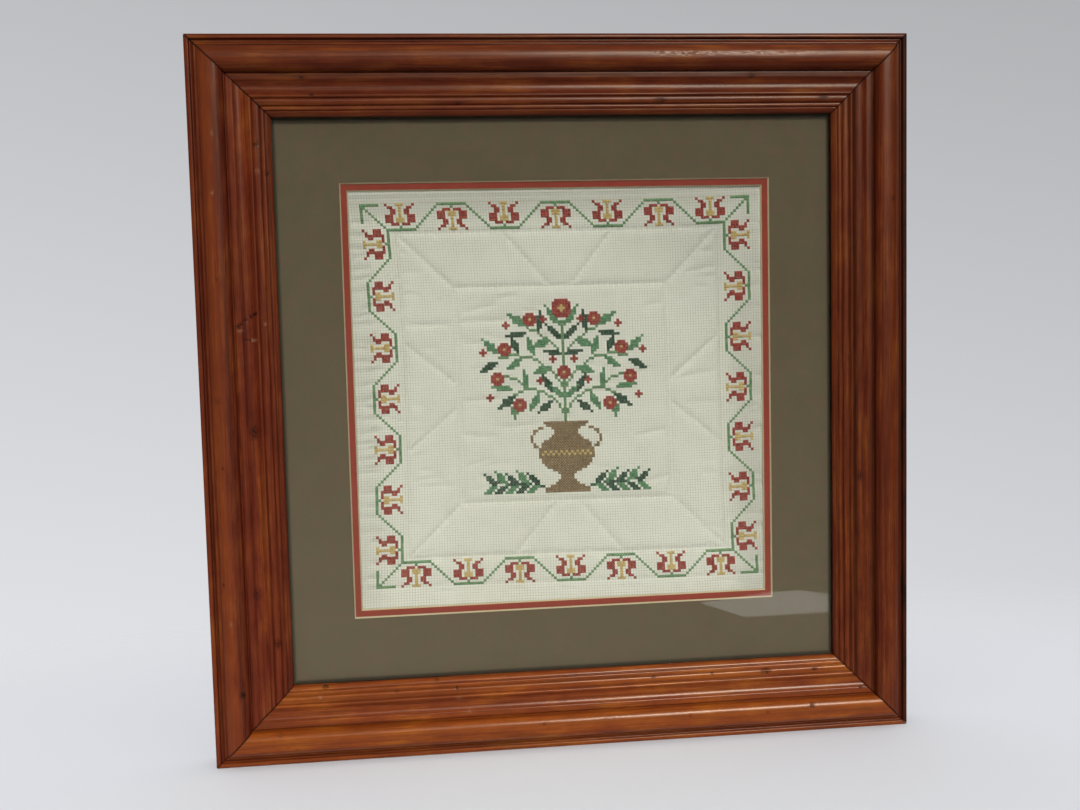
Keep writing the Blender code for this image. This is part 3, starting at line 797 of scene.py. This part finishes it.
def cloth_depth(u, v):
    """The relief with the weave's holes and furrows and a fine ripple where the cloth shows."""
    past_u, past_v = np.maximum(np.abs(u) - SHOWN_U, 0), np.maximum(np.abs(v) - SHOWN_V, 0)
    shown = np.exp(-((past_u / 2.0) ** 2)) * np.exp(-((past_v / 2.0) ** 2))
    odd_u = np.round(2 * u / CELL_U).astype(int) % 2 != 0
    odd_v = np.round(2 * v / CELL_V).astype(int) % 2 != 0
    weave = np.where(odd_u & odd_v, HOLE_DEPTH, np.where(odd_u | odd_v, FURROW_DEPTH, 0.0))
    weave = weave * np.random.default_rng(11).uniform(0.75, 1.2, u.shape)
    depth = relief(u, v) + weave * shown
    depth[[0, -1], :] = 0.0
    depth[:, [0, -1]] = 0.0
    ripple = 0.05 * np.sin(v / 2.9 + 2.1 * np.sin(u / 31)) * np.clip((np.abs(u) - 100) / 30, 0, 1)
    return np.maximum(depth + (ripple + 0.05) * shown, 0.0)


def make_cloth(material):
    """The cloth as one closed sheet: two grid lines to a square where it shows, wide strips under mats."""
    offset_u, offset_v = PATTERN_OFFSET
    fine_u = np.arange(-FINE_U, FINE_U + 0.25, 0.5) * CELL_U
    fine_v = np.arange(-FINE_V, FINE_V + 0.25, 0.5) * CELL_V
    half_u, half_v = PANEL_WIDTH / 2, PANEL_HEIGHT / 2
    us = np.concatenate([[-half_u - offset_u, -NEXT_LINE], fine_u, [NEXT_LINE, half_u - offset_u]])
    vs = np.concatenate([[-half_v - offset_v, -NEXT_LINE], fine_v, [NEXT_LINE, half_v - offset_v]])
    u, v = np.meshgrid(us, vs)
    depth = cloth_depth(u, v)
    aside, up = drift(u, v)
    points = np.stack([u + aside + offset_u, CLOTH_FRONT_Y + depth, v + up + offset_v], -1).reshape(-1, 3)
    rows, columns = u.shape
    index = np.arange(rows * columns).reshape(rows, columns)
    quads = np.stack([index[:-1, :-1], index[:-1, 1:], index[1:, 1:], index[1:, :-1]], -1).reshape(-1, 4)
    rim = np.concatenate([index[0, :], index[1:, -1], index[-1, -2::-1], index[-2:0:-1, 0]])
    behind = points[rim].copy()
    behind[:, 1] = CLOTH_BACK_Y
    below = len(points) + np.arange(len(rim))
    walls = np.stack([rim, below, np.roll(below, -1), np.roll(rim, -1)], -1)
    faces = quads.tolist() + walls.tolist() + [below[::-1].tolist()]
    cell_u, cell_v = u.ravel() / CELL_U, v.ravel() / CELL_V
    cells = {"cell_u": np.concatenate([cell_u, cell_u[rim]]), "cell_v": np.concatenate([cell_v, cell_v[rim]])}
    cloth = make_object("stitched_cloth", np.concatenate([points, behind]), faces, [material], sharp=60,
                        attributes=cells)
    cloth.location = (0, 0, CENTRE_Z * MM)
    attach(cloth, "root")
    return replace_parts(cloth, "cloth")


# Stitches

# A border flower, row by row from the vine: how far its red and its gold stitches lie from its middle.
FLOWER = {2: ((1, 2, 3), ()), 3: ((3, 4, 5), (0, 1)), 4: ((3, 4, 5), (0, 1)), 5: ((3, 4, 5), (0,)),
          6: ((2, 3), (0,)), 7: ((2, 3), (0,)), 8: ((3, 4), (0,)), 9: ((5,), (0, 1))}


def border_chart():
    """The traditional border: seven flowers a side on a waving vine, with a bracket at each corner."""
    side = {}
    for number in range(7):
        middle = (number - 3) * 19
        vine, step = (62, 1) if number % 2 == 0 else (71, -1)
        for a in range(middle - 5, middle + 6):
            side[(a, vine)] = "vine"
        if number < 6:
            for k in range(8):
                side[(middle + 6 + k, vine + step * (k + 1))] = "vine"
        side[(middle, vine + step)] = "vine"
        for row, (reds, golds) in FLOWER.items():
            for sign in (-1, 1):
                for offset in reds:
                    side[(middle + sign * offset, vine + step * row)] = "red"
                for offset in golds:
                    side[(middle + sign * offset, vine + step * row)] = "gold"
    for k in range(63, 71):
        side[(k, k)] = "vine"
    for k in range(65, 72):
        side[(k, 71)] = "vine"
        side[(71, k)] = "vine"
    chart = {}
    for cos, sin in ((1, 0), (0, 1), (-1, 0), (0, -1)):
        for (a, r), colour in side.items():
            chart[(a * cos - r * sin, a * sin + r * cos)] = colour
    return chart


# The right half of the motif, in stitches from the pattern's middle. Leaves: foot, tip, half width, thread.
STEMS = (
    ((0, -10), (0, 27)), ((0, -8), (3, -3), (8, 1), (14, 2), (19, 0)),
    ((0, 2), (4, 8), (10, 13), (18, 15), (24, 14)), ((0, 14), (4, 19), (9, 23), (13, 25)),
    ((14, 2), (18, 6), (23, 7)),
)
LEAVES = (
    (1, 26, 6, 33, 1.2, "mid"), (1, 21, 6, 26, 1.1, "dark"), (5, 20, 11, 18, 1.2, "mid"),
    (9, 24, 8, 31, 1.2, "dark"), (14, 26, 20, 30, 1.2, "mid"), (14, 23, 21, 22, 1.1, "dark"),
    (1, 15, 7, 16, 1.0, "dark"), (5, 10, 11, 8, 1.2, "mid"), (11, 15, 13, 21, 1.1, "mid"),
    (17, 16, 19, 21, 1.1, "dark"), (25, 16, 30, 21, 1.2, "mid"), (25, 12, 31, 9, 1.2, "dark"),
    (16, 13, 21, 10, 1.1, "mid"), (5, 1, 8, 7, 1.2, "dark"), (1, -1, 5, 3, 1.0, "mid"),
    (10, 0, 13, -6, 1.2, "mid"), (5, -3, 10, -7, 1.1, "dark"), (19, -1, 25, -5, 1.2, "dark"),
    (20, 2, 27, 3, 1.1, "mid"), (14, 3, 15, 9, 1.1, "mid"), (19, -3, 19, -9, 1.0, "mid"),
)
# Flowers: middle and size. The urn: its lowest row, half its width in each row from there up, and its handle.
BLOOMS = ((0, 32, 7), (12, 28, 5), (22, 17, 5), (25, 6, 5), (0, 8, 5), (17, -4, 5), (4, 13, 3), (9, 5, 3),
          (30, 16, 3), (7, 28, 3), (21, 26, 3), (28, -1, 3))
URN_FOOT = -37
URN_WIDTHS = (8, 8, 6, 4, 3, 2, 2, 3, 5, 7, 8, 9, 9, 10, 10, 10, 10, 9, 9, 8, 6, 5, 4, 4, 5, 7, 8)
URN_HANDLE = ((9, -13), (12, -14), (13, -17), (12, -20), (10, -21))


def motif_chart():
    """The middle motif, an urn with a mirrored spray of leaves and round flowers, drawn as simple shapes."""
    half = {}

    def put(i, j, colour):
        if i >= 0:
            half[(int(round(i)), int(round(j)))] = colour

    def blade(i0, j0, i1, j1, wide, colour):
        """A pointed leaf from its foot to its tip."""
        length = math.hypot(i1 - i0, j1 - j0)
        for i in range(-1, 36):
            for j in range(-40, 42):
                along = ((i - i0) * (i1 - i0) + (j - j0) * (j1 - j0)) / length ** 2
                across = abs((i - i0) * (j1 - j0) - (j - j0) * (i1 - i0)) / length
                room = 0.25 + wide * math.sin(math.pi * min(1, max(0, along)) ** 0.85)
                if -0.02 <= along <= 1.02 and across <= room:
                    put(i, j, colour)

    def stem(points, colour):
        for (i0, j0), (i1, j1) in zip(points, points[1:]):
            steps = max(abs(i1 - i0), abs(j1 - j0))
            for k in range(steps + 1):
                put(i0 + (i1 - i0) * k / steps, j0 + (j1 - j0) * k / steps, colour)

    def bloom(i, j, size):
        """A round flower, with a gold heart if it is large enough."""
        reach = size // 2
        for di in range(-reach, reach + 1):
            for dj in range(-reach, reach + 1):
                if abs(di) + abs(dj) < 2 * reach:
                    put(i + di, j + dj, "red")
                if abs(di) + abs(dj) < reach - 1:
                    put(i + di, j + dj, "gold")

    for points in STEMS:
        stem(points, "vine")
    for leaf in LEAVES:
        blade(*leaf)
    # The sprigs that lie beside the urn's foot.
    stem([(9, -35), (27, -33)], "dark")
    for k, i in enumerate(range(11, 28, 4)):
        blade(i, -34, i + 4, -30 + (k % 2), 1.1, "mid" if k % 2 else "dark")
        blade(i, -35, i + 4, -37, 0.8, "dark" if k % 2 else "mid")
    for flower in BLOOMS:
        bloom(*flower)
    for row, width in enumerate(URN_WIDTHS):
        for i in range(width + 1):
            put(i, URN_FOOT + row, "brown")
    for i in range(0, 10, 2):
        put(i, -22, "gold")
        put(i + 1, -23, "gold")
    stem(URN_HANDLE, "brown")
    chart = {}
    for (i, j), colour in half.items():
        chart[(i, j)] = colour
        chart[(-i, j)] = colour
    return chart


# Each thread: its piece's name and its colours, linear: the main one, and the darker and lighter ends of its
# range.
THREADS = {
    "red": ("stitches_red", (0.332, 0.040, 0.027), (0.227, 0.022, 0.017), (0.490, 0.086, 0.059)),
    "gold": ("stitches_gold", (0.620, 0.455, 0.170), (0.500, 0.340, 0.105), (0.740, 0.570, 0.240)),
    "vine": ("stitches_vine_green", (0.146, 0.300, 0.132), (0.100, 0.220, 0.094), (0.228, 0.410, 0.200)),
    "mid": ("stitches_leaf_green", (0.105, 0.274, 0.127), (0.071, 0.196, 0.096), (0.162, 0.362, 0.182)),
    "dark": ("stitches_dark_green", (0.022, 0.079, 0.044), (0.013, 0.051, 0.030), (0.040, 0.119, 0.067)),
    "brown": ("stitches_brown", (0.250, 0.165, 0.080), (0.180, 0.115, 0.055), (0.330, 0.235, 0.120)),
}

# Along a strand: where its rings of points are, how far aside of the leg's middle line, in mm, and how full
# it is. Then its half width in mm and its number of sides.
STATIONS = np.array([0.0, 0.22, 0.5, 0.78, 1.0])
SPREAD = np.array([0.08, 0.17, 0.19, 0.17, 0.08])
FULL = np.array([0.72, 1.0, 1.0, 1.0, 0.72])
STRAND_WIDTH, STRAND_SIDES = 0.300, 4
# How deep a leg's ends sink into the cloth, and how high the under and the upper leg's middles rise, in mm.
SUNK, RISES = -0.42, (0.20, 0.52)


def make_stitches(chart, colour, seed):
    """Full crosses of two strands: the under leg rises to the right, the upper leg crosses it."""
    cells = np.array(sorted(cell for cell, name in chart.items() if name == colour), float)
    rng = np.random.default_rng(seed)
    count, stations = len(cells), len(STATIONS)
    points, faces, tones, turns = [], [], [], []
    ring = np.arange(STRAND_SIDES)
    after = (ring + 1) % STRAND_SIDES
    starts = np.arange(stations - 1)[:, None] * STRAND_SIDES
    ends = starts + STRAND_SIDES
    quads = np.stack([starts + ring, starts + after, ends + after, ends + ring], -1).reshape(-1, 4)
    per_strand = stations * STRAND_SIDES
    angle = 2 * math.pi * (ring + 0.5) / STRAND_SIDES
    arch = np.sin(math.pi * STATIONS)[None, :]
    tone = rng.uniform(0, 1, count)
    done = 0
    for slope, rise in zip((1, -1), RISES):
        shoulder = 0.42 * rise + 0.03
        heights = np.array([SUNK, shoulder, rise, shoulder, SUNK])
        start = np.array([-0.5 * CELL_U, -slope * 0.5 * CELL_V])
        travel = -2 * start
        unit = travel / np.hypot(*travel)
        aside = np.array([-unit[1], unit[0]])
        slack = rng.normal(0, 0.035, count)
        fullness = rng.uniform(0.92, 1.08, count)
        lift = rng.uniform(-0.03, 0.04, count)
        leg = start + STATIONS[:, None] * travel * 0.96 + 0.02 * travel
        for strand in (-1, 1):
            offset = strand * SPREAD[None, :] * fullness[:, None] + slack[:, None] * arch
            centre = (cells * (CELL_U, CELL_V))[:, None, :] + leg[None] + offset[..., None] * aside
            level = -relief(centre[..., 0], centre[..., 1]) + heights[None, :] + lift[:, None] * arch
            centre = centre + np.stack(drift(centre[..., 0], centre[..., 1]), -1)
            wide = STRAND_WIDTH * fullness[:, None, None] * FULL[None, :, None]
            across = wide * np.cos(angle)[None, None, :]
            high = 0.7 * wide * np.sin(angle)[None, None, :]
            place = np.stack([centre[..., None, 0] + across * aside[0], -(level[..., None] + high),
                              centre[..., None, 1] + across * aside[1]], -1)
            points.append(place.reshape(-1, 3))
            faces.append((quads[None] + done + per_strand * np.arange(count)[:, None, None]).reshape(-1, 4))
            done += per_strand * count
            tones.append(np.repeat(np.clip(tone + rng.normal(0, 0.12, count), 0, 1), per_strand))
            turns.append(np.tile((STATIONS[:, None] * 1.4 + ring[None, :] / STRAND_SIDES).ravel(), count))
    points = np.concatenate(points)
    points += (PATTERN_OFFSET[0], CLOTH_FRONT_Y, PATTERN_OFFSET[1])
    name, main, dark, light = THREADS[colour]
    material = thread_material("thread_" + colour, main, dark, light)
    obj = make_object(name, points, np.concatenate(faces), [material],
                      attributes={"tone": np.concatenate(tones), "turn": np.concatenate(turns)})
    obj.location = (0, 0, CENTRE_Z * MM)
    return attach(obj, "root")


# Stage

# The camera, as fitted to the photo: place in m, turns about X, Y and Z in degrees, and lens in mm.
CAMERA_PLACE = (-0.117525, -0.854639, 0.303858)
CAMERA_TURNS = (85.076, 1.370, -6.911)
CAMERA_LENS = 43.6175
SOFT_WHITE = (1.0, 0.985, 0.955)


def make_camera():
    """The scene's camera, at the photo's viewing angle."""
    data = bpy.data.cameras.new("photo_camera")
    data.lens, data.sensor_width = CAMERA_LENS, 36.0
    data.clip_start, data.clip_end = 0.01, 50.0
    camera = bpy.data.objects.new("photo_camera", data)
    bpy.context.scene.collection.objects.link(camera)
    turns = Euler([math.radians(turn) for turn in CAMERA_TURNS])
    camera.matrix_world = Matrix.Translation(CAMERA_PLACE) @ turns.to_matrix().to_4x4()
    bpy.context.scene.camera = camera


def add_lamp(name, kind, matrix, power, colour, **settings):
    data = bpy.data.lights.new(name, kind)
    data.energy, data.color = power, colour
    for key, value in settings.items():
        setattr(data, key, value)
    lamp = bpy.data.objects.new(name, data)
    bpy.context.scene.collection.objects.link(lamp)
    lamp.matrix_world = matrix
    return lamp


def facing(azimuth, elevation):
    """The turn of a lamp that shines on the picture from azimuth degrees right of straight in front of it."""
    turn = Matrix.Rotation(math.radians(azimuth), 4, "Z")
    return turn @ Matrix.Rotation(math.radians(90 - elevation), 4, "X")


def area_light(name, azimuth, elevation, distance, size, power, colour, target=(0.0, 0.0, 0.25), diffuse=True,
               glossy=True):
    """A rectangular lamp that faces the target."""
    matrix = Matrix.Translation(target) @ facing(azimuth, elevation) @ Matrix.Translation((0, 0, distance))
    lamp = add_lamp(name, "AREA", matrix, power, colour, shape="RECTANGLE", size=size[0], size_y=size[1])
    lamp.visible_camera = False
    lamp.visible_diffuse, lamp.visible_glossy = diffuse, glossy


def sun_light(name, azimuth, elevation, softness, strength, colour):
    """A far lamp that lights but isn't mirrored. Its softness is the angle across it, in degrees."""
    lamp = add_lamp(name, "SUN", facing(azimuth, elevation), strength, colour, angle=math.radians(softness))
    lamp.visible_glossy = False


def make_world():
    """Pale backdrop for the camera. For the light, a pale wall behind and a dim room in front."""
    s = Shading("studio", "worlds")
    bpy.context.scene.world = s.owner
    direction = s.node("ShaderNodeTexCoord").outputs["Generated"]

    def level(slope, base, low, high):
        """Brightness that changes with the direction, kept between low and high."""
        slant = s.node("ShaderNodeVectorMath", {0: direction, 1: slope}, operation="DOT_PRODUCT").outputs[1]
        return s.node("ShaderNodeClamp", {0: s.plus(slant, base), 1: low, 2: high}).outputs[0]

    _, front, height = s.split(direction)
    behind, above = s.range(front, -0.25, 0.35), s.range(height, 0.35, 0.80)
    seen = s.vector("MULTIPLY", level((-0.12, 0.0, -0.52), 0.602, 0.38, 0.76), (0.99, 1.0, 1.035))
    lighting = s.mix(behind, (0.050, 0.049, 0.048), (0.42, 0.42, 0.44))
    lighting = s.mix(above, lighting, (0.80, 0.80, 0.80))
    room = s.vector("MULTIPLY", level((-0.25, 0.0, -0.70), 0.10, 0.02, 0.30), (1.0, 0.88, 0.68))
    mirrored = s.mix(behind, room, (0.42, 0.39, 0.34))
    path = s.node("ShaderNodeLightPath").outputs
    colour = s.mix(path["Is Glossy Ray"], lighting, mirrored)
    s.feed(s.tree.nodes["Background"].inputs["Color"], s.mix(path["Is Camera Ray"], colour, seen))


# A pale sheet that lies on the table in front and shows only in the glass: its corners, in mm.
PALE_SHEET = ((178.5, -361), (205.7, -299), (286, -301), (310, -369), (288, -392), (259, -390))


def make_stage():
    """The table, the pale sheet on it, and the lamps."""
    grid = [(x, y, 0.0) for y in (-620.0, -160.0, 200.0, 560.0) for x in (-1150.0, 1150.0)]
    material = floor_material()
    floor = make_object("studio_floor", grid[2:], [(0, 1, 3, 2), (2, 3, 5, 4)], [material], smooth=False)
    apron = make_object("studio_floor_front", grid[:4], [(0, 1, 3, 2)], [material], smooth=False)
    apron.visible_glossy = False
    sheet = make_object("studio_sheet", [(x, y, 1.0) for x, y in PALE_SHEET], [tuple(range(6))],
                        [sheet_material()], smooth=False)
    sheet.visible_camera = sheet.visible_diffuse = sheet.visible_shadow = False
    sun_light("key_soft", 1, 36, 13, 2.22, SOFT_WHITE)
    area_light("fill_low", -14, -8, 0.95, (0.6, 0.4), 1.3, SOFT_WHITE, (-0.05, 0.0, 0.19), glossy=False)
    area_light("window_right", 18.5, 24.5, 2.6, (0.86, 0.80), 108.0, (1.0, 0.88, 0.71), diffuse=False)
    area_light("window_left", -2, 23, 2.6, (0.95, 0.50), 7.0, (1.0, 0.90, 0.76), diffuse=False)


# Build

def build():
    """The stage, then every piece, and new materials for the CAD's glass and backing board."""
    bpy.context.scene.view_settings.view_transform = "Standard"
    make_camera()
    make_world()
    make_stage()
    pine = pine_material()
    for name in RAILS:
        make_rail(name, pine)
    core = core_material()
    olive_paper = board_material("olive_mat_paper", (0.124, 0.095, 0.056), (0.087, 0.067, 0.040))
    red_paper = board_material("red_mat_paper", (0.280, 0.044, 0.027), (0.212, 0.034, 0.023))
    make_mat("mat_outer", OUTER_MAT_BACK_Y, OUTER_WINDOW, olive_paper, core, "outer_mat")
    make_mat("mat_inner", INNER_MAT_BACK_Y, INNER_WINDOW, red_paper, core, "inner_mat")
    cloth = make_cloth(cloth_material())
    chart = {**border_chart(), **motif_chart()}
    stitches = [make_stitches(chart, colour, 70 + number) for number, colour in enumerate(THREADS)]
    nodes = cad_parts
    for node, material in (("glass", glass_material()), ("backing_board", hardboard_material())):
        mesh = nodes[node].data
        mesh.materials.clear()
        mesh.materials.append(material)


build()
